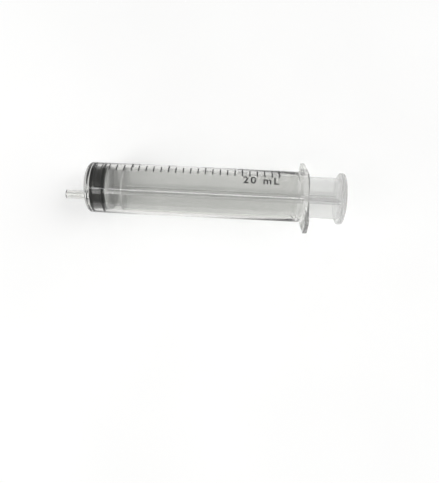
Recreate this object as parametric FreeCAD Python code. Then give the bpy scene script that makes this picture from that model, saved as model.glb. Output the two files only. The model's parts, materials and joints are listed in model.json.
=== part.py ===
import FreeCAD, Part
import math
import os

# A 20 mL luer slip syringe with an off-centre nozzle: barrel, gasket and plunger rod.
# All sizes are millimetres and degrees.
#
# Each piece is modelled along the syringe's own axis: +X runs from the nozzle to the thumb press,
# x = 0 is the tip of the barrel's conical end wall, +Z is the side that carries the scale, and the
# flange's wings point along +Y and -Y. At the end the whole syringe is laid down as it comes to rest.

# Barrel tube
BORE_R = 10.0
BARREL_WALL = 1.1
BARREL_LENGTH = 97.4
END_WALL = 2.0
END_CONE_DEG = 8.5
SHOULDER_R = 2.2
BORE_CORNER_BEVEL = 0.3
LEAD_IN = 0.5

# Ridge inside the rear of the bore that stops the gasket
STOP_HEIGHT = 0.3
STOP_FOOT = 1.8
STOP_TOP = 0.6
STOP_SETBACK = 3.6

# Nozzle with a six per cent luer taper, and its hole
NOZZLE_INSET = 4.5
NOZZLE_LENGTH = 10.0
NOZZLE_TIP_R = 1.99
LUER_TAPER = 0.06
NOZZLE_BEVEL = 0.2
LUMEN_R = 1.0
LUMEN_MOUTH = 0.3
COLLAR_R = 3.4
COLLAR_LENGTH = 1.2
COLLAR_DRAFT_DEG = 5.0
COLLAR_BEVEL = 0.3

# Finger flange: two flats, four slanted sides and two blunt tips
FLANGE_THICKNESS = 1.9
FLANGE_WING = 6.9
FLANGE_MARGIN = 1.3
FLANGE_FLAT_HALF = 2.5
FLANGE_SLANT_DEG = 30.0
FLANGE_CORNER_R = 3.0
FLANGE_TIP_R = 2.2
FLANGE_EDGE_BEVEL = 0.3
FLANGE_ROOT_BEVEL = 0.5

# Grip ridges across the front of each wing
GRIP_COUNT = 3
GRIP_PITCH = 1.5
GRIP_R = 0.35
GRIP_FIRST_GAP = 1.6
GRIP_MARGIN = 1.4
GRIP_END_BEVEL = 0.28

# Gasket
SEAL_CLEARANCE = 0.03
GASKET_GAP = 0.3
GASKET_SIDE = 6.4
SEAL_RING = 1.4
SEAL_BEVEL = 0.3
WAIST_DEPTH = 0.5

# Snap head of the rod, which sits in the gasket's socket
NECK_R = 2.8
NECK_LENGTH = 2.0
HEAD_R = 4.4
HEAD_RIM = 0.8
HEAD_TIP_R = 1.9
HEAD_LENGTH = 2.6
HEAD_CLEARANCE = 0.08

# Plunger rod
DISC_GAP = 0.06
DISC_CLEARANCE = 0.2
FRONT_DISC = 2.0
GUIDE_DISC = 1.1
GUIDE_PITCH = 6.6
DISC_BEVEL = 0.25
RIB_SETBACK = 0.3
FRONT_BAY_DEPTH = 1.2
RIB_ROOT = 1.5
RIB_TIP = 1.1
RIB_CROSSING_R = 0.9
RIB_TURN_DEG = 55.0

# Thumb press
PRESS_OVERHANG = 0.2
PRESS_THICKNESS = 1.9
PRESS_SETBACK = 16.0
PRESS_FRONT_BEVEL = 0.5
PRESS_BACK_BEVEL = 0.25
PRESS_FLARE_INSET = 0.3
RIM_WIDTH = 1.2
RIM_HEIGHT = 0.5
RING_RADII = (2.6, 5.2, 7.8)
RING_WIDTH = 0.7
RING_HEIGHT = 0.3

# Sizes that follow from the ones above
BARREL_R = BORE_R + BARREL_WALL
END_SLOPE = math.tan(math.radians(END_CONE_DEG))
NOZZLE_OFFSET = BORE_R - NOZZLE_INSET
FLANGE_FRONT_X = BARREL_LENGTH - FLANGE_THICKNESS
FLANGE_HALF_SPAN = BARREL_R + FLANGE_WING
FLANGE_HALF_WIDTH = BARREL_R + FLANGE_MARGIN
STOP_X = BARREL_LENGTH - STOP_SETBACK

GASKET_R = BORE_R - SEAL_CLEARANCE
GASKET_TIP_X = END_WALL + GASKET_GAP
GASKET_RIM_X = GASKET_TIP_X + END_SLOPE * GASKET_R
GASKET_BACK_X = GASKET_RIM_X + GASKET_SIDE

DISC_R = BORE_R - STOP_HEIGHT - DISC_CLEARANCE
RIB_R = DISC_R - RIB_SETBACK
ROD_FRONT_X = GASKET_BACK_X + DISC_GAP
GUIDE_X = ROD_FRONT_X + GUIDE_PITCH
PRESS_R = BARREL_R + PRESS_OVERHANG
ROD_END_X = BARREL_LENGTH + PRESS_SETBACK
PRESS_FRONT_X = ROD_END_X - PRESS_THICKNESS

TRAVEL = STOP_X - STOP_FOOT / 2 - GASKET_BACK_X

X_AXIS = FreeCAD.Vector(1, 0, 0)
Y_AXIS = FreeCAD.Vector(0, 1, 0)
Z_AXIS = FreeCAD.Vector(0, 0, 1)
ORIGIN = FreeCAD.Vector(0, 0, 0)


def axial(x, r):
    """A point of a turned profile: x along the axis and r out from it."""
    return FreeCAD.Vector(x, 0, r)


def across(x):
    """A function that gives points of a section square to the axis at x."""
    def point(y, z):
        return FreeCAD.Vector(x, y, z)
    return point


def rounded_wire(corners, point):
    """A closed wire through corners (p, q, radius), each corner rounded by an arc of its radius."""
    stretches = []
    for i, (p, q, radius) in enumerate(corners):
        here = point(p, q)
        before = point(*corners[i - 1][:2]) - here
        after = point(*corners[(i + 1) % len(corners)][:2]) - here
        if radius == 0:
            stretches.append((here, None, here))
            continue
        half = before.getAngle(after) / 2
        before.normalize()
        after.normalize()
        reach = radius / math.tan(half)
        inward = before + after
        inward.normalize()
        middle = here + inward * (radius / math.sin(half) - radius)
        stretches.append((here + before * reach, middle, here + after * reach))
    edges = []
    for i, (start, middle, end) in enumerate(stretches):
        if middle is not None:
            edges.append(Part.Arc(start, middle, end).toShape())
        following = stretches[(i + 1) % len(stretches)][0]
        if end.distanceToPoint(following) > 1e-6:
            edges.append(Part.LineSegment(end, following).toShape())
    return Part.Wire(edges)


def one_solid(shape):
    """The single solid of a finished piece, with the seams between like faces taken out."""
    return shape.removeSplitter().Solids[0]


def turned(corners, axis_z=0.0):
    """A solid turned about a line along X, which lies axis_z above the syringe's axis."""
    solid = Part.Face(rounded_wire(corners, axial)).revolve(ORIGIN, X_AXIS, 360)
    solid.translate(Z_AXIS * axis_z)
    return solid


def barrel_skin():
    """The outside of the tube, solid, from the conical end wall to the middle of the flange."""
    cone_x = END_SLOPE * BARREL_R
    inside_flange = FLANGE_FRONT_X + FLANGE_THICKNESS / 2
    return turned([
        (0, 0, 0),
        (cone_x, BARREL_R, SHOULDER_R),
        (inside_flange, BARREL_R, 0),
        (inside_flange, 0, 0),
    ])


def bore():
    """The space inside the barrel, with the stop ridge and the lead-in at its mouth."""
    past_end = BARREL_LENGTH + LEAD_IN
    stop_r = BORE_R - STOP_HEIGHT
    corner_r = BORE_R - BORE_CORNER_BEVEL
    corner_x = END_WALL + END_SLOPE * corner_r
    return turned([
        (END_WALL, 0, 0),
        (corner_x, corner_r, 0),
        (corner_x + BORE_CORNER_BEVEL, BORE_R, 0),
        (STOP_X - STOP_FOOT / 2, BORE_R, 0),
        (STOP_X - STOP_TOP / 2, stop_r, 0),
        (STOP_X + STOP_TOP / 2, stop_r, 0),
        (STOP_X + STOP_FOOT / 2, BORE_R, 0),
        (BARREL_LENGTH - LEAD_IN, BORE_R, 0),
        (past_end, BORE_R + 2 * LEAD_IN, 0),
        (past_end, 0, 0),
    ])


def nozzle():
    """The luer nozzle on its collar, solid, with its root inside the end wall."""
    root_x = END_WALL / 2 + END_SLOPE * NOZZLE_OFFSET
    root_r = NOZZLE_TIP_R + LUER_TAPER / 2 * (NOZZLE_LENGTH + root_x)
    taper = turned([
        (-NOZZLE_LENGTH, 0, 0),
        (-NOZZLE_LENGTH, NOZZLE_TIP_R - NOZZLE_BEVEL, 0),
        (-NOZZLE_LENGTH + NOZZLE_BEVEL, NOZZLE_TIP_R, 0),
        (root_x, root_r, 0),
        (root_x, 0, 0),
    ], -NOZZLE_OFFSET)
    front_r = COLLAR_R - (COLLAR_LENGTH + root_x) * math.tan(math.radians(COLLAR_DRAFT_DEG))
    collar = turned([
        (-COLLAR_LENGTH, 0, 0),
        (-COLLAR_LENGTH, front_r - COLLAR_BEVEL, 0),
        (-COLLAR_LENGTH + COLLAR_BEVEL, front_r, 0),
        (root_x, COLLAR_R, 0),
        (root_x, 0, 0),
    ], -NOZZLE_OFFSET)
    return collar.fuse(taper)


def lumen():
    """The hole through the nozzle and the end wall, with a small countersink at the tip."""
    through_x = END_WALL + END_SLOPE * BORE_R
    mouth_x = -NOZZLE_LENGTH + LUMEN_MOUTH
    outside_x = -NOZZLE_LENGTH - LUMEN_MOUTH
    return turned([
        (outside_x, 0, 0),
        (outside_x, LUMEN_R + 2 * LUMEN_MOUTH, 0),
        (mouth_x, LUMEN_R, 0),
        (through_x, LUMEN_R, 0),
        (through_x, 0, 0),
    ], -NOZZLE_OFFSET)


def flange_side_reach():
    """Distance from the axis to each slanted side of the flange."""
    slant = math.radians(FLANGE_SLANT_DEG)
    return FLANGE_FLAT_HALF * math.sin(slant) + FLANGE_HALF_WIDTH * math.cos(slant)


def flange_tip_half():
    """Half the width of a wing's blunt tip, where the slanted sides end."""
    slant = math.radians(FLANGE_SLANT_DEG)
    return (flange_side_reach() - FLANGE_HALF_SPAN * math.sin(slant)) / math.cos(slant)


def flange():
    """The finger flange with bevelled edges, before the bore is cut."""
    tip = flange_tip_half()
    quarter = [
        (FLANGE_HALF_SPAN, tip, FLANGE_TIP_R),
        (FLANGE_FLAT_HALF, FLANGE_HALF_WIDTH, FLANGE_CORNER_R),
    ]
    upper = quarter + [(-y, z, radius) for y, z, radius in reversed(quarter)]
    lower = [(-y, -z, radius) for y, z, radius in upper]
    outline = rounded_wire(upper + lower, across(FLANGE_FRONT_X))
    plate = Part.Face(outline).extrude(X_AXIS * FLANGE_THICKNESS)
    rims = [edge for edge in plate.Edges if edge.BoundBox.XLength < FLANGE_THICKNESS / 2]
    return plate.makeChamfer(FLANGE_EDGE_BEVEL, rims)


def grip_ridges():
    """Low round ridges across the front of both wings, shorter towards the tips."""
    slant = math.radians(FLANGE_SLANT_DEG)
    ridges = []
    for i in range(GRIP_COUNT):
        y = BARREL_R + GRIP_FIRST_GAP + i * GRIP_PITCH
        half = (flange_side_reach() - y * math.sin(slant)) / math.cos(slant) - GRIP_MARGIN
        for side in (-1, 1):
            foot = FreeCAD.Vector(FLANGE_FRONT_X, side * y, -half)
            ridge = Part.makeCylinder(GRIP_R, 2 * half, foot, Z_AXIS)
            ends = [edge for edge in ridge.Edges if edge.Curve.TypeId == "Part::GeomCircle"]
            ridges.append(ridge.makeChamfer(GRIP_END_BEVEL, ends))
    return ridges


def barrel():
    """The clear barrel: tube, end wall, nozzle and flange in one moulding."""
    tube = barrel_skin().fuse(flange())
    root = [
        edge for edge in tube.Edges
        if edge.Curve.TypeId == "Part::GeomCircle"
        and abs(edge.Curve.Radius - BARREL_R) < 1e-6
        and abs(edge.CenterOfMass.x - FLANGE_FRONT_X) < 1e-6
    ]
    tube = tube.makeChamfer(FLANGE_ROOT_BEVEL, root)
    moulding = tube.fuse([nozzle()] + grip_ridges())
    return one_solid(moulding.cut([bore(), lumen()]))


def stem_head(grow, foot_x):
    """The rod's neck and snap head from foot_x forwards, or its socket when grow is the clearance."""
    shoulder_x = ROD_FRONT_X - NECK_LENGTH
    tip_x = shoulder_x - HEAD_LENGTH
    return turned([
        (tip_x - grow, 0, 0),
        (tip_x - grow, HEAD_TIP_R + grow, 0),
        (shoulder_x - HEAD_RIM, HEAD_R + grow, 0),
        (shoulder_x + grow, HEAD_R + grow, 0),
        (shoulder_x + grow, NECK_R + grow, 0),
        (foot_x, NECK_R + grow, 0),
        (foot_x, 0, 0),
    ])


def gasket():
    """The black rubber gasket: conical front, two seal rings, waist, and the socket for the head."""
    waist_r = GASKET_R - WAIST_DEPTH
    bevel_r = GASKET_R - SEAL_BEVEL
    front_ring_x = GASKET_RIM_X + SEAL_RING
    back_ring_x = GASKET_BACK_X - SEAL_RING
    body = turned([
        (GASKET_TIP_X, 0, 0),
        (GASKET_TIP_X + END_SLOPE * bevel_r, bevel_r, 0),
        (GASKET_RIM_X + SEAL_BEVEL, GASKET_R, 0),
        (front_ring_x, GASKET_R, 0),
        (front_ring_x + WAIST_DEPTH, waist_r, 0),
        (back_ring_x - WAIST_DEPTH, waist_r, 0),
        (back_ring_x, GASKET_R, 0),
        (GASKET_BACK_X - SEAL_BEVEL, GASKET_R, 0),
        (GASKET_BACK_X, bevel_r, 0),
        (GASKET_BACK_X, 0, 0),
    ])
    past_back = GASKET_BACK_X + HEAD_CLEARANCE
    return one_solid(body.cut(stem_head(HEAD_CLEARANCE, past_back)))


def rib_section(x):
    """The cross-shaped section of the stem: four tapering ribs with rounded inner corners."""
    taper = (RIB_ROOT - RIB_TIP) / 2 / RIB_R
    core = RIB_ROOT / 2 / (1 + taper)
    reach = PRESS_R
    half_tip = RIB_ROOT / 2 - taper * reach
    corners = []
    for turn in range(4):
        angle = math.radians(90 * turn)
        for p, q, radius in ((reach, -half_tip, 0), (reach, half_tip, 0), (core, core, RIB_CROSSING_R)):
            y = p * math.cos(angle) - q * math.sin(angle)
            z = p * math.sin(angle) + q * math.cos(angle)
            corners.append((y, z, radius))
    return Part.Face(rounded_wire(corners, across(x)))


def stem():
    """The cross-ribbed stem, trimmed to a turned envelope that flares out under the thumb press."""
    section = rib_section(ROD_FRONT_X)
    prism = section.extrude(X_AXIS * (ROD_END_X - RIM_HEIGHT - RING_HEIGHT - ROD_FRONT_X))
    prism.rotate(ORIGIN, X_AXIS, RIB_TURN_DEG)
    bay_r = DISC_R - FRONT_BAY_DEPTH
    flare_r = PRESS_R - PRESS_FRONT_BEVEL - PRESS_FLARE_INSET
    envelope = turned([
        (ROD_FRONT_X, 0, 0),
        (ROD_FRONT_X, bay_r, 0),
        (GUIDE_X + GUIDE_DISC / 2, bay_r, 0),
        (GUIDE_X + GUIDE_DISC / 2, RIB_R, 0),
        (PRESS_FRONT_X, RIB_R, flare_r - RIB_R),
        (PRESS_FRONT_X, flare_r, 0),
        (ROD_END_X, flare_r, 0),
        (ROD_END_X, 0, 0),
    ])
    return prism.common(envelope)


def disc(x, thickness):
    """A thin round disc of the rod, front face at x."""
    return turned([
        (x, 0, 0),
        (x, DISC_R - DISC_BEVEL, 0),
        (x + DISC_BEVEL, DISC_R, 0),
        (x + thickness - DISC_BEVEL, DISC_R, 0),
        (x + thickness, DISC_R - DISC_BEVEL, 0),
        (x + thickness, 0, 0),
    ])


def thumb_press():
    """The thumb press with its raised rim and low grip rings on the outer face."""
    floor_x = ROD_END_X - RIM_HEIGHT
    rim_r = PRESS_R - RIM_WIDTH
    corners = [
        (PRESS_FRONT_X, 0, 0),
        (PRESS_FRONT_X, PRESS_R - PRESS_FRONT_BEVEL, 0),
        (PRESS_FRONT_X + PRESS_FRONT_BEVEL, PRESS_R, 0),
        (ROD_END_X - PRESS_BACK_BEVEL, PRESS_R, 0),
        (ROD_END_X, PRESS_R - PRESS_BACK_BEVEL, 0),
        (ROD_END_X, rim_r, 0),
        (floor_x, rim_r - RIM_HEIGHT, 0),
    ]
    for ring_r in sorted(RING_RADII, reverse=True):
        corners += [
            (floor_x, ring_r + RING_WIDTH / 2, 0),
            (floor_x + RING_HEIGHT, ring_r, 0),
            (floor_x, ring_r - RING_WIDTH / 2, 0),
        ]
    corners.append((floor_x, 0, 0))
    return turned(corners)


def plunger_rod():
    """The plunger rod: snap head, two discs, ribbed stem and thumb press in one moulding."""
    inside_disc = ROD_FRONT_X + FRONT_DISC / 2
    return one_solid(stem_head(0, inside_disc).fuse([
        disc(ROD_FRONT_X, FRONT_DISC),
        disc(GUIDE_X, GUIDE_DISC),
        stem(),
        thumb_press(),
    ]))


def rest_tilt_deg():
    """How much the thumb press end is raised: the barrel's shoulder and the flange both touch down."""
    slope = math.radians(END_CONE_DEG)
    shoulder_r = BARREL_R - SHOULDER_R
    shoulder_x = (SHOULDER_R + shoulder_r * math.sin(slope)) / math.cos(slope)
    run = FLANGE_FRONT_X + FLANGE_EDGE_BEVEL - shoulder_x
    rise = flange_side_reach() - shoulder_r
    lean = math.asin(SHOULDER_R / math.hypot(run, rise))
    return math.degrees(math.atan2(rise, run) - lean)


def laid_down(pieces):
    """Rolls the syringe onto a slanted side of its flange, tips it to touch down and centres it."""
    roll = FreeCAD.Rotation(X_AXIS, -FLANGE_SLANT_DEG)
    tip = FreeCAD.Rotation(Y_AXIS, -rest_tilt_deg())
    turn = FreeCAD.Placement(ORIGIN, tip.multiply(roll))
    turned_pieces = {name: solid.transformed(turn.Matrix) for name, solid in pieces.items()}
    box = Part.makeCompound(list(turned_pieces.values())).optimalBoundingBox()
    centre = FreeCAD.Vector((box.XMin + box.XMax) / 2, (box.YMin + box.YMax) / 2, box.ZMin)
    return {name: solid.translated(-centre) for name, solid in turned_pieces.items()}, centre


PIECES, CENTRE = laid_down({"barrel": barrel(), "gasket": gasket(), "plunger_rod": plunger_rod()})

os.makedirs("parts", exist_ok=True)
for name, solid in PIECES.items():
    solid.exportStep(f"parts/{name}.step")
    print(name, "valid" if solid.isValid() else "not valid", "volume", round(solid.Volume, 1))
print("travel", round(TRAVEL, 2), "tilt", round(rest_tilt_deg(), 3), "centre", CENTRE)
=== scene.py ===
"""Visual model of a 20 mL slip syringe: clear barrel with a printed scale, black gasket and ribbed rod.

Every piece is modelled in millimetres along the syringe's own axes and then laid down in the row frame.
Own +X runs from the nozzle to the thumb press, x = 0 is the tip of the barrel's conical end wall, own +Z is
the side that carries the scale, and the flange's wings point along own +Y and -Y.
"""

import json
import logging
import math
from collections.abc import Sequence
from dataclasses import dataclass
from enum import Enum

import bmesh
import bpy
from mathutils import Matrix, Vector


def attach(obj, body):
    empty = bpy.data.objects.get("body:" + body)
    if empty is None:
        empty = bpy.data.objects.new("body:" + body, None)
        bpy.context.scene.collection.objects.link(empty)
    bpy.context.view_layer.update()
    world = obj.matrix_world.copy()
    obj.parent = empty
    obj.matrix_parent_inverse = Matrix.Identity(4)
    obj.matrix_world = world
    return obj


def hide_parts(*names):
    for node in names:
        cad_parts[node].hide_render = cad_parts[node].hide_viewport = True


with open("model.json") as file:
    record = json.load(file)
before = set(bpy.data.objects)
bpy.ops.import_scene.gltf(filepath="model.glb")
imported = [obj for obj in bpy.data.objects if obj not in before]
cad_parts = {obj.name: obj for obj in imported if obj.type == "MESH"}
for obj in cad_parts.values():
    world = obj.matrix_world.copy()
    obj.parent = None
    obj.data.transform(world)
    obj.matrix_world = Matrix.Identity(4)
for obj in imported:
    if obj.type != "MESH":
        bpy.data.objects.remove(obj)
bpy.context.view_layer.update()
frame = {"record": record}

LOG = logging.getLogger("syringe")
MM = 0.001
SMOOTH_ANGLE = math.radians(32.0)
SHARP_ANGLE = math.radians(50.0)
# Least share along X of an edge that runs straight back, and of one that may curve on its way.
STRAIGHT = 0.9
LENGTHWISE = 0.5
MERGE_DISTANCE = 1e-4
RING_TOLERANCE = 1e-3
WHITE = (1.0, 1.0, 1.0, 1.0)

Triple = tuple[float, float, float]
Shades = tuple[Triple, Triple]
Span = tuple[float, float]
Mesh = bmesh.types.BMesh
Material = bpy.types.Material
Socket = bpy.types.NodeSocket
Inputs = dict[str | int, object]


class Joining(Enum):
    """How one closed mesh is combined with another."""

    ADD = "UNION"
    CUT = "DIFFERENCE"
    KEEP_COMMON = "INTERSECT"


class Start(Enum):
    """Which point of a text stands at its place."""

    LEFT_END = "LEFT"
    MIDDLE = "CENTER"


class Body(Enum):
    """The moving bodies of the syringe."""

    BARREL = "barrel"
    GASKET = "gasket"
    PLUNGER_ROD = "plunger_rod"


def off_axis(point: Vector) -> float:
    """Distance of a point from the X axis."""
    return math.hypot(point.y, point.z)


def share_along_x(edge: bmesh.types.BMEdge) -> float:
    """The share of an edge's direction that lies along X, from 0 to 1."""
    return abs((edge.verts[0].co - edge.verts[1].co).normalized().x)


def pull(flat: Mesh, way: Triple) -> None:
    """Pulls the faces of a flat mesh into a closed one.

    Args:
        flat: The mesh.
        way: How far they are pulled along each axis.
    """
    pulled = bmesh.ops.extrude_face_region(flat, geom=flat.faces[:], use_keep_orig=True)
    moved = [part for part in pulled["geom"] if isinstance(part, bmesh.types.BMVert)]
    bmesh.ops.translate(flat, verts=moved, vec=way)
    bmesh.ops.recalc_face_normals(flat, faces=flat.faces)


def stance(place: Vector, *ways: Vector) -> Matrix:
    """The matrix of something that stands at a place, with its own x, y and z along the given ways."""
    return Matrix.Translation(place) @ Matrix(ways).transposed().to_4x4()


def in_scene(name: str, data: bpy.types.ID) -> bpy.types.Object:
    """Puts an object into the scene that shows a mesh or curve, or is a lamp or the camera."""
    made = bpy.data.objects.new(name, data)
    bpy.context.scene.collection.objects.link(made)
    return made


@dataclass(frozen=True)
class Corner:
    """A corner of a turned profile.

    Attributes:
        x: Place along the turning axis in millimetres.
        r: Distance from the turning axis in millimetres.
        rounding: Radius of the arc that rounds the corner, 0 for a sharp one.
    """

    x: float
    r: float
    rounding: float = 0.0

    def point(self) -> Vector:
        """The corner as a point above the turning axis."""
        return Vector((self.x, 0.0, self.r))

    def swept(self, vert: bmesh.types.BMVert) -> bool:
        """Whether a vertex is on the ring that the corner sweeps."""
        return abs(vert.co.x - self.x) < RING_TOLERANCE and abs(off_axis(vert.co) - self.r) < RING_TOLERANCE


def own_to_row(mounts: dict[str, dict], rod_end_x: float, slant: float) -> Matrix:
    """Works out how the syringe lies in the row frame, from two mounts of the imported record.

    Args:
        mounts: The record's mounts by name.
        rod_end_x: Own x of the rim of the thumb press in millimetres.
        slant: Slant of the flange side on which the syringe lies, in radians.

    Returns:
        The matrix from own millimetres to metres in the row frame.
    """
    press = mounts["thumb_press_rim"]
    along = Vector(press["axis"]).normalized()
    side = Vector(mounts["rest_side"]["axis"]).normalized()
    up = along.cross(side) * math.sin(slant) - side * math.cos(slant)
    origin = Vector(press["pos_m"]) - along * (rod_end_x * MM)
    return stance(origin, along, up.cross(along), up) @ Matrix.Scale(MM, 4)


@dataclass
class Solid:
    """A closed mesh in own millimetres, shaped by turning, pulling, rounding and joining.

    Attributes:
        mesh: The mesh, which belongs to this solid.
        LEAST_FACES: Least number of faces across a rounded edge.
        FACES_PER_MM: Faces across a rounded corner of a profile for each millimetre of its radius.
    """

    mesh: Mesh

    LEAST_FACES = 3
    FACES_PER_MM = 4

    @classmethod
    def turned(cls, corners: Sequence[Corner], steps: int, axis_z: float = 0.0) -> "Solid":
        """Turns a profile about a line along X and rounds its corners.

        Args:
            corners: The profile, from a point on the turning axis to another one.
            steps: Number of steps in the full turn.
            axis_z: Height of the turning axis above the syringe's own axis.

        Returns:
            The turned solid.
        """
        mesh = bmesh.new()
        verts = [mesh.verts.new(corner.point()) for corner in corners]
        edges = [mesh.edges.new(pair) for pair in zip(verts, verts[1:])]
        bmesh.ops.spin(
            mesh, geom=verts + edges, cent=(0, 0, 0), axis=(1, 0, 0), dvec=(0, 0, 0), angle=math.tau,
            steps=steps, space=Matrix(), use_merge=True, use_normal_flip=False, use_duplicate=False,
        )
        bmesh.ops.remove_doubles(mesh, verts=mesh.verts, dist=MERGE_DISTANCE)
        bmesh.ops.recalc_face_normals(mesh, faces=mesh.faces)
        solid = cls(mesh)
        for before, corner, after in zip(corners, corners[1:], corners[2:]):
            if corner.rounding > 0:
                bend = (corner.point() - before.point()).angle(after.point() - corner.point())
                ring = [edge for edge in mesh.edges if all(corner.swept(vert) for vert in edge.verts)]
                faces = max(cls.LEAST_FACES, round(cls.FACES_PER_MM * corner.rounding))
                solid.bevel(ring, corner.rounding * math.tan(bend / 2), faces)
        bmesh.ops.translate(mesh, verts=mesh.verts, vec=(0, 0, axis_z))
        return solid

    def bevel(self, edges: Sequence[bmesh.types.BMEdge], offset: float, faces: int = LEAST_FACES) -> None:
        """Rounds some edges.

        Args:
            edges: The edges to round.
            offset: How far from each edge the round starts.
            faces: Number of faces across the round.
        """
        bmesh.ops.bevel(
            self.mesh, geom=edges, offset=offset, offset_type="OFFSET", affect="EDGES", segments=faces,
            profile=0.5, material=-1, clamp_overlap=True,
        )

    def combined(self, other: "Solid", joining: Joining) -> "Solid":
        """Joins, cuts or trims this solid with another one, and frees both.

        Args:
            other: The other solid.
            joining: What is done with it.

        Returns:
            The combined solid.
        """
        helpers = [solid.as_object("helper") for solid in (self, other)]
        modifier = helpers[0].modifiers.new("joining", "BOOLEAN")
        modifier.operation = joining.value
        modifier.solver = "EXACT"
        modifier.object = helpers[1]
        result = bmesh.new()
        result.from_object(helpers[0], bpy.context.evaluated_depsgraph_get())
        for helper in helpers:
            bpy.data.meshes.remove(helper.data)
        bmesh.ops.remove_doubles(result, verts=result.verts, dist=MERGE_DISTANCE)
        return Solid(result)

    def as_object(self, name: str) -> bpy.types.Object:
        """Writes the mesh to an object in the scene, and frees it.

        Args:
            name: The object's name.

        Returns:
            The object.
        """
        written = bpy.data.meshes.new(name)
        self.mesh.to_mesh(written)
        self.mesh.free()
        return in_scene(name, written)

    def lay_down(self, name: str, to_row: Matrix, material: Material, body: Body, slot: str = "") -> None:
        """Lays the mesh down in the row frame as a piece, ties it to its body and reports it.

        Args:
            name: The piece's name.
            to_row: Matrix from own axes to the row frame.
            material: The piece's material.
            body: The body that it moves with.
            slot: The record's material slot for the piece, which is not set on it here; left out for a piece
                that stands for its body's own node, which is then hidden.
        """
        bmesh.ops.transform(self.mesh, matrix=to_row, verts=self.mesh.verts)
        piece = self.as_object(name)
        piece.data.shade_smooth()
        piece.data.set_sharp_from_angle(angle=SMOOTH_ANGLE)
        piece.data.materials.append(material)
        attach(piece, body.value)
        if not slot:
            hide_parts(body.value)
        LOG.info("%s rides on %s with %d faces", name, body.value, len(piece.data.polygons))


@dataclass(frozen=True)
class Noise:
    """A noise pattern that is fixed to its piece.

    Attributes:
        scale: Features per metre.
        detail: How many finer layers it has.
        stretch: Factors on the piece's three coordinates.
    """

    scale: float
    detail: float
    stretch: Triple = (1.0, 1.0, 1.0)


class NodeBoard:
    """A node tree with short calls to add nodes to it.

    Attributes:
        MIDDLE: Middle range of a noise pattern, which holds nearly all of its values.
    """

    MIDDLE = (0.3, 0.7)

    def __init__(self, owner: Material | bpy.types.World) -> None:
        """Starts an empty tree.

        Args:
            owner: The material or world that the tree belongs to.
        """
        self.owner = owner
        self.owner.use_nodes = True
        self.tree = owner.node_tree
        self.tree.nodes.clear()

    def node(self, kind: str, inputs: Inputs, **settings: object) -> bpy.types.Node:
        """Adds a node.

        Args:
            kind: The node's type, without the first words that all types share.
            inputs: What each input gets: a plain value, or an output that is linked to it.
            **settings: The node's properties and their values.

        Returns:
            The node.
        """
        node = self.tree.nodes.new("ShaderNode" + kind)
        for name, value in settings.items():
            setattr(node, name, value)
        for name, value in inputs.items():
            if isinstance(value, Socket):
                self.tree.links.new(value, node.inputs[name])
            else:
                node.inputs[name].default_value = value
        return node

    def add(self, kind: str, output: str, inputs: Inputs, **settings: object) -> Socket:
        """Adds a node as above and returns one of its outputs."""
        return self.node(kind, inputs, **settings).outputs[output]

    def place(self) -> Socket:
        """The place on the piece in its own coordinates."""
        return self.add("TexCoord", "Object", {})

    def noise(self, noise: Noise) -> Socket:
        """The value of a noise pattern."""
        vector = self.add("Mapping", "Vector", {"Vector": self.place(), "Scale": noise.stretch})
        return self.add("TexNoise", "Fac", {"Vector": vector, "Scale": noise.scale, "Detail": noise.detail})

    def ranged(
        self, source: Socket, span: Span, low: float | Socket, high: float, **settings: object,
    ) -> Socket:
        """Maps a span of a value to another one, from low to high, and holds it beyond the ends."""
        inputs = {"Value": source, "From Min": span[0], "From Max": span[1], "To Min": low, "To Max": high}
        return self.add("MapRange", "Result", inputs, **settings)

    def shade(self, source: Socket, dark: Triple, bright: Triple) -> Socket:
        """Turns a pattern into a colour between two colours.

        Args:
            source: The pattern.
            dark: Colour at its dark parts.
            bright: Colour at its bright parts.

        Returns:
            The colour output.
        """
        ramp = self.node("ValToRGB", {"Fac": source})
        for element, position, colour in zip(ramp.color_ramp.elements, self.MIDDLE, (dark, bright)):
            element.position = position
            element.color = (*colour, 1.0)
        return ramp.outputs["Color"]

    def mixed(self, ray: str, others: Socket, chosen: Socket) -> Socket:
        """A chosen shader for one kind of ray, mixed with the shader for all others."""
        is_ray = self.add("LightPath", ray, {})
        return self.add("MixShader", "Shader", {"Fac": is_ray, 1: others, 2: chosen})

    def finish(self, kind: str, surface: Socket) -> Material | bpy.types.World:
        """Joins the surface to an output of the given kind and returns the tree's owner."""
        self.node(kind, {"Surface": surface})
        return self.owner


@dataclass(frozen=True)
class Finish:
    """A finish whose colour, roughness and relief follow noise patterns.

    Attributes:
        name: Name of the material.
        colours: Its colours at the dark and bright parts of the clouds.
        roughness: Its least and most roughness.
        depth: Height of its relief in metres.
        clouds: Pattern of its colour.
        wear: Pattern of its roughness.
        relief: Pattern of its relief.
    """

    name: str
    colours: Shades
    roughness: Span
    depth: float
    clouds: Noise
    wear: Noise
    relief: Noise

    def own_inputs(self) -> Inputs:
        """The plain values that this kind of finish adds to the shader."""
        return {}

    def surface(self, board: NodeBoard, shader: bpy.types.Node) -> Socket:
        """The surface that this kind of finish makes of the shader."""
        return shader.outputs["BSDF"]

    def material(self) -> Material:
        """Builds the material."""
        board = NodeBoard(bpy.data.materials.new(self.name))
        height = board.noise(self.relief)
        shader = board.node("BsdfPrincipled", {
            "Base Color": board.shade(board.noise(self.clouds), *self.colours),
            "Roughness": board.ranged(board.noise(self.wear), board.MIDDLE, *self.roughness),
            "Normal": board.add("Bump", "Normal", {"Distance": self.depth, "Height": height}),
            **self.own_inputs(),
        })
        return board.finish("OutputMaterial", self.surface(board, shader))


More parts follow.
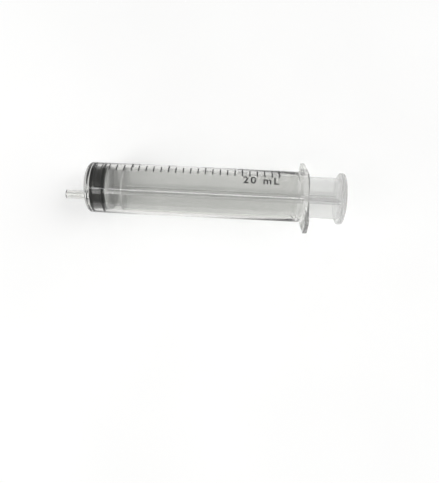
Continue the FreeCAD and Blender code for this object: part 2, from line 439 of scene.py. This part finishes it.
@dataclass(frozen=True)
class ClearPolypropylene(Finish):
    """Clear moulded polypropylene with faint haze and flow marks.

    Attributes:
        clearness: Share of the light that isn't scattered, in each stretch along x.
        edges: Where each stretch meets the next one, in metres.
        blend: Length in metres over which the clearness changes there.
        shadow_tint: Share of lamp light that passes a face.
        ior: Index of refraction.
    """

    name: str = "clear_polypropylene"
    colours: Shades = ((0.83, 0.83, 0.815), (0.87, 0.87, 0.855))
    roughness: Span = (0.03, 0.07)
    depth: float = 0.0000015
    clouds: Noise = Noise(60.0, 3.0, (0.4, 1.0, 1.0))
    wear: Noise = Noise(240.0, 2.0)
    relief: Noise = Noise(420.0, 2.0, (0.06, 1.0, 1.0))
    clearness: tuple[float, ...] = (0.96, 0.995, 0.86)
    edges: tuple[float, ...] = ()
    blend: float = 0.0005
    shadow_tint: Triple = (0.94, 0.945, 0.94)
    ior: float = 1.49

    def own_inputs(self) -> Inputs:
        """The plastic's refraction and its clearness in the first stretch."""
        return {"IOR": self.ior, "Transmission Weight": self.clearness[0]}

    def surface(self, board: NodeBoard, shader: bpy.types.Node) -> Socket:
        """Varies the clearness along x and lets lamps shine through, so that what the plastic holds is lit.

        Args:
            board: The node board to add to.
            shader: The plastic's shader.

        Returns:
            The surface.
        """
        x = board.add("SeparateXYZ", "X", {"Vector": board.place()})
        clearness = self.clearness[0]
        for edge, after in zip(self.edges, self.clearness[1:]):
            clearness = board.ranged(x, (edge - self.blend / 2, edge + self.blend / 2), clearness, after)
            board.tree.links.new(clearness, shader.inputs["Transmission Weight"])
        open_side = board.add("BsdfTransparent", "BSDF", {"Color": (*self.shadow_tint, 1.0)})
        return board.mixed("Is Shadow Ray", shader.outputs["BSDF"], open_side)


@dataclass(frozen=True)
class NaturalPolypropylene(ClearPolypropylene):
    """Moulded polypropylene without a clarifier, milkier and rougher than the clear kind."""

    name: str = "natural_polypropylene"
    colours: Shades = ((0.74, 0.74, 0.735), (0.81, 0.81, 0.805))
    roughness: Span = (0.12, 0.2)
    depth: float = 0.000006
    clearness: tuple[float, ...] = (0.72,)
    shadow_tint: Triple = (0.86, 0.865, 0.86)


@dataclass(frozen=True)
class BlackRubber(Finish):
    """Moulded black rubber, glossy with a film of silicone oil.

    Attributes:
        gloss: Level of its own reflection.
        oil: Weight of the oil film's gloss.
        oil_roughness: Roughness of the oil film.
    """

    name: str = "black_rubber"
    colours: Shades = ((0.004, 0.004, 0.0035), (0.012, 0.012, 0.01))
    roughness: Span = (0.3, 0.42)
    depth: float = 0.000012
    clouds: Noise = Noise(500.0, 3.0)
    wear: Noise = Noise(900.0, 2.0)
    relief: Noise = Noise(2600.0, 2.0)
    gloss: float = 0.2
    oil: float = 0.06
    oil_roughness: float = 0.12

    def own_inputs(self) -> Inputs:
        """The rubber's gloss and its film of oil."""
        return {
            "Specular IOR Level": self.gloss, "Coat Weight": self.oil, "Coat Roughness": self.oil_roughness,
        }


@dataclass(frozen=True)
class PrintingInk(Finish):
    """Black screen-printing ink with a slightly uneven coat."""

    name: str = "printing_ink"
    colours: Shades = ((0.008, 0.008, 0.008), (0.03, 0.03, 0.032))
    roughness: Span = (0.4, 0.6)
    depth: float = 0.000004
    clouds: Noise = Noise(1800.0, 3.0)
    wear: Noise = Noise(1800.0, 3.0)
    relief: Noise = Noise(6000.0, 1.0)


@dataclass
class FlangeOutline:
    """The lozenge outline of the finger flange: two flats, four slanted sides and two blunt tips.

    Attributes:
        half_span: From the axis to a wing's tip, along own Y.
        half_width: From the axis to a flat, along own Z.
        flat_half: Half the length of a flat.
        slant_deg: Slant of the sides against own Y.
        flat_rounding: Radius of the corners beside the flats.
        tip_rounding: Radius of the corners at the tips.
    """

    half_span: float
    half_width: float
    flat_half: float = 2.5
    slant_deg: float = 30.0
    flat_rounding: float = 3.0
    tip_rounding: float = 2.2

    @property
    def slant(self) -> float:
        """Slant of the sides in radians."""
        return math.radians(self.slant_deg)

    def side_reach(self) -> float:
        """Distance from the axis to each slanted side."""
        return self.flat_half * math.sin(self.slant) + self.half_width * math.cos(self.slant)

    def half_height(self, y: float) -> float:
        """Half the plate's height where its sides slant, at a distance y from the axis."""
        return (self.side_reach() - y * math.sin(self.slant)) / math.cos(self.slant)

    def reach(self, y: float, z: float) -> float:
        """Distance from the axis to the outline in the direction of a point.

        Args:
            y: The point's own y.
            z: The point's own z.

        Returns:
            The distance in millimetres.
        """
        way = Vector((abs(y), abs(z))).normalized()
        tip_way = Vector((1, 0))
        side_way = Vector((math.sin(self.slant), math.cos(self.slant)))
        flat_way = Vector((0, 1))
        sides = ((tip_way, self.half_span), (side_way, self.side_reach()), (flat_way, self.half_width))
        reach = min(distance / way.dot(out) for out, distance in sides if way.dot(out) > MERGE_DISTANCE)
        tip = Vector((self.half_span, self.half_height(self.half_span)))
        flat = Vector((self.flat_half, self.half_width))
        for corner, first, second, rounding in (
            (tip, tip_way, side_way, self.tip_rounding),
            (flat, side_way, flat_way, self.flat_rounding),
        ):
            middle = (first + second).normalized()
            centre = corner - middle * (rounding / middle.dot(first))
            start = centre + first * rounding
            end = centre + second * rounding
            if start.y * way.x <= way.y * start.x and way.y * end.x <= end.y * way.x:
                off_line = centre.x * way.y - centre.y * way.x
                reach = centre.dot(way) + math.sqrt(rounding**2 - off_line**2)
        return reach


@dataclass
class Barrel:
    """The clear barrel: tube, conical end wall, off-centre luer nozzle and finger flange as one moulding."""

    bore_r: float = 10.0
    wall: float = 1.1
    length: float = 97.4
    end_wall: float = 2.0
    end_cone_deg: float = 8.5
    shoulder_rounding: float = 2.2
    bore_corner_rounding: float = 0.4
    lead_in: float = 0.5
    lead_in_rounding: float = 0.12
    stop_height: float = 0.3
    stop_foot: float = 1.8
    stop_top: float = 0.6
    stop_setback: float = 3.6
    stop_rounding: float = 0.3
    nozzle_inset: float = 4.5
    nozzle_length: float = 10.0
    nozzle_tip_r: float = 1.99
    luer_taper: float = 0.06
    nozzle_rounding: float = 0.25
    nozzle_foot_rounding: float = 0.3
    lumen_r: float = 1.0
    lumen_mouth: float = 0.3
    collar_r: float = 3.4
    collar_length: float = 1.2
    collar_draft_deg: float = 5.0
    collar_rounding: float = 0.35
    flange_thickness: float = 1.9
    flange_wing: float = 6.9
    flange_margin: float = 1.3
    flange_edge_rounding: float = 0.35
    flange_root_rounding: float = 0.6
    grip_count: int = 3
    grip_pitch: float = 1.5
    grip_r: float = 0.35
    grip_rounding: float = 0.28
    grip_sides: int = 20
    grip_first_gap: float = 1.6
    grip_margin: float = 1.4
    turn_steps: int = 288
    small_turn_steps: int = 72

    @property
    def outline(self) -> FlangeOutline:
        """Outline of the flange."""
        return FlangeOutline(self.outer_r + self.flange_wing, self.outer_r + self.flange_margin)

    @property
    def outer_r(self) -> float:
        """Outer radius of the tube."""
        return self.bore_r + self.wall

    @property
    def end_slope(self) -> float:
        """Rise of the conical end wall along X for each millimetre away from the axis."""
        return math.tan(math.radians(self.end_cone_deg))

    @property
    def bore_front_x(self) -> float:
        """Own x of the corner where the bore meets the end wall."""
        return self.end_wall + self.end_slope * self.bore_r

    @property
    def flange_front_x(self) -> float:
        """Own x of the flange's front face."""
        return self.length - self.flange_thickness

    @property
    def nozzle_offset(self) -> float:
        """How far the nozzle's axis lies below the barrel's."""
        return self.bore_r - self.nozzle_inset

    def wall_ends(self, to_row: Matrix) -> tuple[float, ...]:
        """The x in the row frame at which the tube's thin wall starts and ends, in metres."""
        ends = (self.bore_front_x, self.flange_front_x - self.flange_root_rounding)
        return tuple((to_row @ Vector((x, 0, 0))).x for x in ends)

    def tube(self) -> Solid:
        """The tube with its end wall, its bore and a round flange, turned as one wall."""
        stop_x = self.length - self.stop_setback
        stop_r = self.bore_r - self.stop_height
        plate_r = self.outline.half_width
        return Solid.turned([
            Corner(0, 0),
            Corner(self.end_slope * self.outer_r, self.outer_r, self.shoulder_rounding),
            Corner(self.flange_front_x, self.outer_r, self.flange_root_rounding),
            Corner(self.flange_front_x, plate_r, self.flange_edge_rounding),
            Corner(self.length, plate_r, self.flange_edge_rounding),
            Corner(self.length, self.bore_r + self.lead_in, self.lead_in_rounding),
            Corner(self.length - self.lead_in, self.bore_r, self.stop_rounding),
            Corner(stop_x + self.stop_foot / 2, self.bore_r, self.stop_rounding),
            Corner(stop_x + self.stop_top / 2, stop_r, self.stop_rounding),
            Corner(stop_x - self.stop_top / 2, stop_r, self.stop_rounding),
            Corner(stop_x - self.stop_foot / 2, self.bore_r, self.stop_rounding),
            Corner(self.bore_front_x, self.bore_r, self.bore_corner_rounding),
            Corner(self.end_wall, 0),
        ], self.turn_steps)

    def widen_flange(self, tube: Solid) -> None:
        """Moves the rim of the round flange out to the lozenge outline.

        Args:
            tube: The tube with its round flange.
        """
        outline = self.outline
        least_x = self.flange_front_x - RING_TOLERANCE
        least_r = outline.half_width - self.flange_edge_rounding - RING_TOLERANCE
        for vert in tube.mesh.verts:
            reach = off_axis(vert.co)
            if vert.co.x > least_x and reach > least_r:
                grown = (reach + outline.reach(vert.co.y, vert.co.z) - outline.half_width) / reach
                vert.co.y *= grown
                vert.co.z *= grown

    def nozzle(self) -> Solid:
        """The luer nozzle on its collar, solid, with its root inside the end wall."""
        root_x = self.end_wall / 2 + self.end_slope * self.nozzle_offset
        root_r = self.nozzle_tip_r + self.luer_taper / 2 * (self.nozzle_length - self.collar_length)
        draft = (self.collar_length + root_x) * math.tan(math.radians(self.collar_draft_deg))
        return Solid.turned([
            Corner(-self.nozzle_length, 0),
            Corner(-self.nozzle_length, self.nozzle_tip_r, self.nozzle_rounding),
            Corner(-self.collar_length, root_r, self.nozzle_foot_rounding),
            Corner(-self.collar_length, self.collar_r - draft, self.collar_rounding),
            Corner(root_x, self.collar_r),
            Corner(root_x, 0),
        ], self.small_turn_steps, -self.nozzle_offset)

    def lumen(self) -> Solid:
        """The hole through the nozzle and the end wall, with a countersink at the tip."""
        mouth_x = self.lumen_mouth - self.nozzle_length
        outside_x = -self.lumen_mouth - self.nozzle_length
        return Solid.turned([
            Corner(outside_x, 0),
            Corner(outside_x, self.lumen_r + 2 * self.lumen_mouth),
            Corner(mouth_x, self.lumen_r),
            Corner(self.bore_front_x, self.lumen_r),
            Corner(self.bore_front_x, 0),
        ], self.small_turn_steps, -self.nozzle_offset)

    def grips(self) -> Solid:
        """Low ridges with rounded ends across the front of both wings."""
        mesh = bmesh.new()
        for i in range(self.grip_count):
            y = self.outer_r + self.grip_first_gap + i * self.grip_pitch
            length = 2 * (self.outline.half_height(y) - self.grip_margin)
            for side in (-1, 1):
                bmesh.ops.create_cone(
                    mesh, cap_ends=True, cap_tris=False, segments=self.grip_sides, radius1=self.grip_r,
                    radius2=self.grip_r, depth=length,
                    matrix=Matrix.Translation((self.flange_front_x, side * y, 0)),
                )
        ends = [edge for edge in mesh.edges if abs((edge.verts[0].co - edge.verts[1].co).z) < RING_TOLERANCE]
        grips = Solid(mesh)
        grips.bevel(ends, self.grip_rounding)
        return grips

    def build(self, to_row: Matrix) -> None:
        """Builds the barrel, dresses it and ties it to its body.

        Args:
            to_row: Matrix from own axes to the row frame.
        """
        tube = self.tube()
        self.widen_flange(tube)
        moulding = tube.combined(self.nozzle(), Joining.ADD).combined(self.grips(), Joining.ADD)
        moulding = moulding.combined(self.lumen(), Joining.CUT)
        plastic = ClearPolypropylene(edges=self.wall_ends(to_row)).material()
        moulding.lay_down("clear_barrel", to_row, plastic, Body.BARREL)


@dataclass
class Gasket:
    """The black rubber gasket: conical front, two seal rings, a waist and the socket for the rod's head."""

    barrel: Barrel
    squeeze: float = 0.006
    gap: float = 0.3
    side: float = 6.4
    seal_ring: float = 1.4
    seal_rounding: float = 0.35
    waist_depth: float = 0.5
    head_clearance: float = 0.08
    socket_rounding: float = 0.15
    turn_steps: int = 216

    @property
    def outer_r(self) -> float:
        """Radius of the seal rings, which press against the bore so that no air is left between."""
        return self.barrel.bore_r + self.squeeze

    @property
    def tip_x(self) -> float:
        """Own x of the middle of the conical front."""
        return self.barrel.end_wall + self.gap

    @property
    def rim_x(self) -> float:
        """Own x of the front rim, which reads the scale."""
        return self.tip_x + self.barrel.end_slope * self.outer_r

    @property
    def back_x(self) -> float:
        """Own x of the rear face."""
        return self.rim_x + self.side

    def build(self, to_row: Matrix, head: Sequence[Corner]) -> None:
        """Builds the gasket round the rod's head, dresses it and ties it to its body.

        Args:
            to_row: Matrix from own axes to the row frame.
            head: The profile of the rod's head and neck, grown by the clearance, from its tip to its foot.
        """
        waist_r = self.outer_r - self.waist_depth
        front_ring_x = self.rim_x + self.seal_ring
        back_ring_x = self.back_x - self.seal_ring
        solid = Solid.turned([
            Corner(self.tip_x, 0),
            Corner(self.rim_x, self.outer_r, self.seal_rounding),
            Corner(front_ring_x, self.outer_r, self.seal_rounding),
            Corner(front_ring_x + self.waist_depth, waist_r, self.seal_rounding),
            Corner(back_ring_x - self.waist_depth, waist_r, self.seal_rounding),
            Corner(back_ring_x, self.outer_r, self.seal_rounding),
            Corner(self.back_x, self.outer_r, self.seal_rounding),
            Corner(self.back_x, head[-1].r, self.socket_rounding),
            *reversed(head[:-1]),
        ], self.turn_steps)
        solid.lay_down("rubber_gasket", to_row, BlackRubber().material(), Body.GASKET)


@dataclass
class PlungerRod:
    """The plunger rod: snap head, two discs, cross-ribbed stem and thumb press in one moulding."""

    barrel: Barrel
    gasket_back_x: float
    neck_r: float = 2.8
    neck_length: float = 2.0
    neck_rounding: float = 0.3
    head_r: float = 4.4
    head_rim: float = 0.8
    head_tip_r: float = 1.9
    head_length: float = 2.6
    head_tip_rounding: float = 0.4
    head_front_rounding: float = 0.3
    head_back_rounding: float = 0.15
    disc_gap: float = 0.06
    disc_clearance: float = 0.2
    front_disc: float = 2.0
    guide_disc: float = 1.1
    guide_pitch: float = 6.6
    disc_rounding: float = 0.28
    rib_setback: float = 0.3
    front_bay_depth: float = 1.2
    rib_root: float = 1.5
    rib_tip: float = 1.1
    rib_crossing_rounding: float = 0.9
    rib_crossing_faces: int = 4
    rib_edge_rounding: float = 0.2
    rib_edge_lead: float = 1.0
    rib_edge_tail: float = 0.1
    rib_turn_deg: float = 55.0
    rib_overrun: float = 0.2
    press_overhang: float = 0.2
    press_thickness: float = 1.9
    press_setback: float = 16.0
    press_front_rounding: float = 0.6
    press_back_rounding: float = 0.3
    press_flare_inset: float = 0.3
    rim_width: float = 1.2
    rim_height: float = 0.5
    rim_rounding: float = 0.15
    floor_rounding: float = 0.2
    ring_radii: tuple[float, ...] = (7.8, 5.2, 2.6)
    ring_width: float = 0.7
    ring_height: float = 0.3
    ring_foot_rounding: float = 0.1
    ring_top_rounding: float = 0.15
    gate_r: float = 0.9
    gate_floor_r: float = 0.63
    gate_depth: float = 0.15
    gate_rounding: float = 0.06
    turn_steps: int = 192

    @property
    def disc_r(self) -> float:
        """Radius of the two discs, which pass the stop ridge."""
        return self.barrel.bore_r - self.barrel.stop_height - self.disc_clearance

    @property
    def rib_r(self) -> float:
        """Reach of the ribs from the axis."""
        return self.disc_r - self.rib_setback

    @property
    def bay_r(self) -> float:
        """Reach of the ribs between the two discs."""
        return self.disc_r - self.front_bay_depth

    @property
    def front_x(self) -> float:
        """Own x of the front disc's front face."""
        return self.gasket_back_x + self.disc_gap

    @property
    def end_x(self) -> float:
        """Own x of the rim of the thumb press."""
        return self.barrel.length + self.press_setback

    @property
    def press_front_x(self) -> float:
        """Own x of the front face of the thumb press."""
        return self.end_x - self.press_thickness

    @property
    def inside_press_x(self) -> float:
        """Own x, inside the thumb press, at which the cross of ribs ends before it is trimmed."""
        return self.end_x - self.rim_height - self.ring_height

    @property
    def press_r(self) -> float:
        """Radius of the thumb press."""
        return self.barrel.outer_r + self.press_overhang

    def head_profile(self, grow: float) -> list[Corner]:
        """The profile of the head and neck.

        Args:
            grow: How far it is grown on all sides.

        Returns:
            Corners from the tip on the axis to the neck's foot.
        """
        shoulder_x = self.front_x - self.neck_length
        tip_x = shoulder_x - self.head_length
        return [
            Corner(tip_x - grow, 0),
            Corner(tip_x - grow, self.head_tip_r + grow, self.head_tip_rounding),
            Corner(shoulder_x - self.head_rim, self.head_r + grow, self.head_front_rounding),
            Corner(shoulder_x + grow, self.head_r + grow, self.head_back_rounding),
            Corner(shoulder_x + grow, self.neck_r + grow, self.neck_rounding),
            Corner(self.front_x, self.neck_r + grow),
        ]

    def disc(self, x: float, thickness: float, start: Sequence[Corner]) -> Solid:
        """A round disc with its front face at x, after the profile of what stands in front of it."""
        return Solid.turned([
            *start,
            Corner(x, self.disc_r, self.disc_rounding),
            Corner(x + thickness, self.disc_r, self.disc_rounding),
            Corner(x + thickness, 0),
        ], self.turn_steps)

    def thumb_press(self) -> Solid:
        """The thumb press with its raised rim, low grip rings and the dimple of the mould's gate."""
        floor_x = self.end_x - self.rim_height
        rim_r = self.press_r - self.rim_width
        corners = [
            Corner(self.press_front_x, 0),
            Corner(self.press_front_x, self.press_r, self.press_front_rounding),
            Corner(self.end_x, self.press_r, self.press_back_rounding),
            Corner(self.end_x, rim_r, self.rim_rounding),
            Corner(floor_x, rim_r - self.rim_height, self.floor_rounding),
        ]
        for ring_r in self.ring_radii:
            corners += [
                Corner(floor_x, ring_r + self.ring_width / 2, self.ring_foot_rounding),
                Corner(floor_x + self.ring_height, ring_r, self.ring_top_rounding),
                Corner(floor_x, ring_r - self.ring_width / 2, self.ring_foot_rounding),
            ]
        corners += [
            Corner(floor_x, self.gate_r, self.gate_rounding),
            Corner(floor_x - self.gate_depth, self.gate_floor_r, self.gate_rounding),
            Corner(floor_x - self.gate_depth, 0),
        ]
        return Solid.turned(corners, self.turn_steps)

    def cross(self) -> Solid:
        """The cross of four tapering ribs, longer and wider than the stem, with rounded inner corners."""
        taper = (self.rib_root - self.rib_tip) / 2 / self.rib_r
        core = self.rib_root / 2 / (1 + taper)
        half_tip = self.rib_root / 2 - taper * self.press_r
        start_x = self.front_x + self.front_disc / 2
        mesh = bmesh.new()
        corners = []
        for quarter in range(4):
            angle = math.radians(90 * quarter + self.rib_turn_deg)
            cos, sin = math.cos(angle), math.sin(angle)
            for p, q in ((self.press_r, -half_tip), (self.press_r, half_tip), (core, core)):
                corners.append(mesh.verts.new((start_x, p * cos - q * sin, p * sin + q * cos)))
        mesh.faces.new(corners)
        pull(mesh, (self.inside_press_x - start_x, 0, 0))
        inner = [
            edge for edge in mesh.edges
            if share_along_x(edge) > STRAIGHT and off_axis(edge.verts[0].co) < 2 * self.rib_root
        ]
        cross = Solid(mesh)
        cross.bevel(inner, self.rib_crossing_rounding, self.rib_crossing_faces)
        return cross

    def envelope(self) -> Solid:
        """The turned space that trims the ribs: narrow between the discs and flared under the press."""
        flare_r = self.press_r - self.press_front_rounding - self.press_flare_inset
        guide_middle = self.front_x + self.guide_pitch + self.guide_disc / 2
        end_x = self.inside_press_x - self.rib_overrun
        return Solid.turned([
            Corner(self.front_x, 0),
            Corner(self.front_x, self.bay_r),
            Corner(guide_middle, self.bay_r),
            Corner(guide_middle, self.rib_r),
            Corner(self.press_front_x, self.rib_r, flare_r - self.rib_r),
            Corner(self.press_front_x, flare_r),
            Corner(end_x, flare_r),
            Corner(end_x, 0),
        ], self.turn_steps)

    def stem(self) -> Solid:
        """The ribbed stem with softened rib edges."""
        stem = self.cross().combined(self.envelope(), Joining.KEEP_COMMON)
        first_x = self.front_x + self.front_disc - self.rib_edge_lead
        last_x = self.press_front_x + self.rib_edge_tail
        least_r = self.bay_r - RING_TOLERANCE
        rib_edges = [
            edge for edge in stem.mesh.edges
            if len(edge.link_faces) == 2
            and edge.calc_face_angle(0.0) > SHARP_ANGLE
            and share_along_x(edge) > LENGTHWISE
            and all(first_x < vert.co.x < last_x and off_axis(vert.co) > least_r for vert in edge.verts)
        ]
        stem.bevel(rib_edges, self.rib_edge_rounding)
        return stem

    def build(self, to_row: Matrix) -> None:
        """Builds the rod, dresses it and ties it to its body.

        Args:
            to_row: Matrix from own axes to the row frame.
        """
        guide_x = self.front_x + self.guide_pitch
        rod = self.stem()
        for part in (
            self.disc(self.front_x, self.front_disc, self.head_profile(0)),
            self.disc(guide_x, self.guide_disc, [Corner(guide_x, 0)]),
            self.thumb_press(),
        ):
            rod = rod.combined(part, Joining.ADD)
        rod.lay_down("ribbed_rod", to_row, NaturalPolypropylene().material(), Body.PLUNGER_ROD)


@dataclass
class PrintedScale:
    """The printed graduation: a line for each millilitre, numerals at every fifth and the volume."""

    barrel: Barrel
    zero_x: float = 5.2
    last_ml: int = 25
    numbered_every: int = 5
    line_width: float = 0.5
    start_deg: float = 2.0
    short_deg: float = 23.0
    long_deg: float = 34.0
    numeral_gap: float = 0.7
    numeral_size: float = 5.8
    numeral_shift: float = 1.0
    numeral_turn_deg: float = 90.0
    volume_text: str = "20 mL"
    volume_deg: float = -8.8
    volume_size: float = 4.9
    volume_spacing: float = 1.3
    volume_ml: float = 22.5
    boldness: float = 0.012
    curve_steps: int = 6
    sunk: float = 0.02
    proud: float = 0.02
    strip: float = 0.5

    @property
    def per_ml(self) -> float:
        """Stroke for one millilitre in millimetres."""
        return 1000.0 / (math.pi * self.barrel.bore_r**2)

    def arc(self, degrees: float) -> float:
        """Length on the barrel's surface of an angle about the axis."""
        return math.radians(degrees) * self.barrel.outer_r

    def lines(self) -> Mesh:
        """The flat lines of the scale, x along the barrel and y round it."""
        flat = bmesh.new()
        for ml in range(self.last_ml + 1):
            length = self.arc(self.long_deg if ml % self.numbered_every == 0 else self.short_deg)
            place = Vector((self.zero_x + ml * self.per_ml, self.arc(self.start_deg) + length / 2, 0))
            strips = max(2, round(length / self.strip))
            grid = bmesh.ops.create_grid(flat, x_segments=1, y_segments=strips, size=0.5)
            bmesh.ops.scale(flat, vec=(self.line_width, length, 1), verts=grid["verts"])
            bmesh.ops.translate(flat, vec=place, verts=grid["verts"])
        return flat

    def lettering(
        self, text: str, size: float, place: Vector, turn_deg: float, spacing: float, start: Start,
    ) -> Mesh:
        """Flat lettering, cut into strips that can follow the barrel.

        Args:
            text: The characters.
            size: Their font size in millimetres.
            place: Its place, x along the barrel and y round it.
            turn_deg: Turn of the text in its plane.
            spacing: Factor on the distance between characters.
            start: Which point of the text is there.

        Returns:
            The lettering.
        """
        curve = bpy.data.curves.new("lettering", "FONT")
        curve.body = text
        curve.size = size
        curve.align_x = start.value
        curve.align_y = "CENTER"
        curve.space_character = spacing
        curve.offset = self.boldness * size
        curve.resolution_u = self.curve_steps
        writing = in_scene("lettering", curve).evaluated_get(bpy.context.evaluated_depsgraph_get())
        shape = bpy.data.meshes.new_from_object(writing)
        flat = bmesh.new()
        flat.from_mesh(shape)
        bpy.data.meshes.remove(shape)
        bpy.data.curves.remove(curve)
        bmesh.ops.remove_doubles(flat, verts=flat.verts, dist=MERGE_DISTANCE)
        turn = Matrix.Translation(place) @ Matrix.Rotation(math.radians(turn_deg), 4, "Z")
        bmesh.ops.transform(flat, matrix=turn, verts=flat.verts)
        low = min(vert.co.y for vert in flat.verts)
        high = max(vert.co.y for vert in flat.verts)
        for i in range(1, math.ceil((high - low) / self.strip)):
            bmesh.ops.bisect_plane(
                flat, geom=[*flat.verts, *flat.edges, *flat.faces], dist=MERGE_DISTANCE,
                plane_co=(0, low + i * self.strip, 0), plane_no=(0, 1, 0),
            )
        return flat

    def wrapped(self, flat: Mesh) -> Solid:
        """Gives flat print its thickness and wraps it round the barrel.

        Args:
            flat: The print, x along the barrel and y round it.

        Returns:
            The print as a thin shell in the barrel's surface.
        """
        bmesh.ops.translate(flat, verts=flat.verts, vec=(0, 0, -self.sunk))
        pull(flat, (0, 0, self.sunk + self.proud))
        for vert in flat.verts:
            angle = vert.co.y / self.barrel.outer_r
            reach = self.barrel.outer_r + vert.co.z
            vert.co = (vert.co.x, reach * math.sin(angle), reach * math.cos(angle))
        return Solid(flat)

    def build(self, to_row: Matrix) -> None:
        """Builds the print, dresses it and ties it to the barrel.

        Args:
            to_row: Matrix from own axes to the row frame.
        """
        prints = {"scale_lines": self.lines()}
        numeral_y = self.arc(self.start_deg + self.long_deg) + self.numeral_gap
        for ml in range(self.numbered_every, self.last_ml + 1, self.numbered_every):
            place = Vector((self.zero_x + ml * self.per_ml + self.numeral_shift, numeral_y, 0))
            prints[f"numeral_{ml}"] = self.lettering(
                str(ml), self.numeral_size, place, self.numeral_turn_deg, 1.0, Start.LEFT_END,
            )
        place = Vector((self.zero_x + self.volume_ml * self.per_ml, self.arc(self.volume_deg), 0))
        prints["volume_print"] = self.lettering(
            self.volume_text, self.volume_size, place, 0.0, self.volume_spacing, Start.MIDDLE,
        )
        ink = PrintingInk().material()
        for name, flat in prints.items():
            self.wrapped(flat).lay_down(name, to_row, ink, Body.BARREL, "scale_ink")


@dataclass(frozen=True)
class Lamp:
    """A soft rectangular lamp whose long side lies along X.

    Attributes:
        name: Its name.
        place: Where it stands, in metres.
        size: Its length and width in metres.
        watts: Its power.
    """

    name: str
    place: Triple
    size: Span
    watts: float

    def build(self, aim: Vector) -> None:
        """Builds the lamp.

        Args:
            aim: The point that it faces.
        """
        data = bpy.data.lights.new(self.name, "AREA")
        data.shape = "RECTANGLE"
        data.size, data.size_y = self.size
        data.energy = self.watts
        place = Vector(self.place)
        back = (place - aim).normalized()
        across = Vector((0, 1, 0)).cross(back).normalized()
        in_scene(self.name, data).matrix_world = stance(place, across, back.cross(across), back)


@dataclass
class Studio:
    """White floor, soft lamps and the camera, in metres where a name gives no other unit.

    The point at aim_x_mm on the syringe's axis shows aim_up_px above the picture's middle. Under the syringe
    the floor adds floor_glow to its lit colour, and over the distances of fade_out that rises to full white.
    """

    long_side_px: int = 483
    aim_x_mm: float = 59.3
    aim_up_px: float = 48.3
    distance: float = 0.225
    pitch_deg: float = 83.5
    roll_deg: float = 2.9
    focal_px: float = 507.0
    sensor_mm: float = 36.0
    clip_start: float = 0.01
    floor_half: float = 1.6
    floor_colours: Shades = ((0.78, 0.78, 0.775), (0.82, 0.82, 0.815))
    floor_clouds: Noise = Noise(9.0, 2.0)
    floor_glow: float = 0.22
    fade_out: Span = (0.15, 0.8)
    world_level: float = 0.36
    lamps: tuple[Lamp, ...] = (
        Lamp("strip_overhead", (0.01, -0.22, 0.7), (0.8, 0.05), 0.8),
        Lamp("soft_left", (-0.95, -0.4, 0.8), (0.7, 0.9), 8.5),
        Lamp("soft_right", (0.95, 0.3, 0.8), (0.7, 0.9), 6.0),
    )
    lamp_aim: Triple = (0.0, 0.0, 0.01)

    def camera(self, to_row: Matrix) -> None:
        """Sets the camera so that the aimed point shows at its height.

        Args:
            to_row: Matrix from own axes to the row frame.
        """
        pitch = math.radians(self.pitch_deg)
        roll = math.radians(self.roll_deg)
        sight = Vector((0, math.cos(pitch), -math.sin(pitch)))
        level_up = Vector((0, math.sin(pitch), math.cos(pitch)))
        level_right = sight.cross(level_up)
        right = level_right * math.cos(roll) + level_up * math.sin(roll)
        up = level_up * math.cos(roll) - level_right * math.sin(roll)
        below = self.aim_up_px * self.distance / self.focal_px
        aim = to_row @ Vector((self.aim_x_mm, 0, 0))
        data = bpy.data.cameras.new("camera")
        data.lens = self.sensor_mm * self.focal_px / self.long_side_px
        data.sensor_width = self.sensor_mm
        data.clip_start = self.clip_start
        camera = in_scene("camera", data)
        camera.matrix_world = stance(aim - sight * self.distance - up * below, right, up, -sight)
        bpy.context.scene.camera = camera

    def floor(self) -> None:
        """The floor, which keeps the shadow and glows white for the camera, also through plastic."""
        board = NodeBoard(bpy.data.materials.new("white_floor"))
        colour = board.shade(board.noise(self.floor_clouds), *self.floor_colours)
        matte = board.add("BsdfDiffuse", "BSDF", {"Color": colour})
        away = board.add("VectorMath", "Value", {0: board.place()}, operation="LENGTH")
        fade = board.ranged(away, self.fade_out, self.floor_glow, 1.0, interpolation_type="SMOOTHSTEP")
        seen = board.add("LightPath", "Is Camera Ray", {})
        for ray in ("Is Glossy Ray", "Is Transmission Ray"):
            inputs = {0: seen, 1: board.add("LightPath", ray, {})}
            seen = board.add("Math", "Value", inputs, operation="MAXIMUM")
        level = board.add("Math", "Value", {0: seen, 1: fade}, operation="MULTIPLY")
        glow = board.add("Emission", "Emission", {"Strength": level})
        surface = board.add("AddShader", "Shader", {0: matte, 1: glow})
        plate = bmesh.new()
        bmesh.ops.create_grid(plate, x_segments=4, y_segments=4, size=self.floor_half)
        floor = Solid(plate).as_object("floor")
        floor.data.materials.append(board.finish("OutputMaterial", surface))

    def world(self) -> None:
        """Even light from all round, white where the camera sees it."""
        board = NodeBoard(bpy.data.worlds.new("studio"))
        soft, white = (
            board.add("Background", "Background", {"Color": WHITE, "Strength": level})
            for level in (self.world_level, 1.0)
        )
        bpy.context.scene.world = board.finish("OutputWorld", board.mixed("Is Camera Ray", soft, white))

    def build(self, to_row: Matrix) -> None:
        """Builds the whole studio.

        Args:
            to_row: Matrix from own axes to the row frame.
        """
        bpy.context.scene.view_settings.view_transform = "Standard"
        self.camera(to_row)
        self.floor()
        self.world()
        for lamp in self.lamps:
            lamp.build(Vector(self.lamp_aim))


def main() -> None:
    """Builds the syringe and its studio in order."""
    logging.basicConfig(level=logging.INFO, format="%(name)s: %(message)s")
    for material in list(bpy.data.materials):
        bpy.data.materials.remove(material)
    barrel = Barrel()
    gasket = Gasket(barrel)
    rod = PlungerRod(barrel, gasket.back_x)
    mounts = {mount["name"]: mount for mount in frame["record"]["mounts"]}
    to_row = own_to_row(mounts, rod.end_x, barrel.outline.slant)
    barrel.build(to_row)
    gasket.build(to_row, rod.head_profile(gasket.head_clearance))
    rod.build(to_row)
    PrintedScale(barrel).build(to_row)
    Studio().build(to_row)


if __name__ == "__main__":
    main()
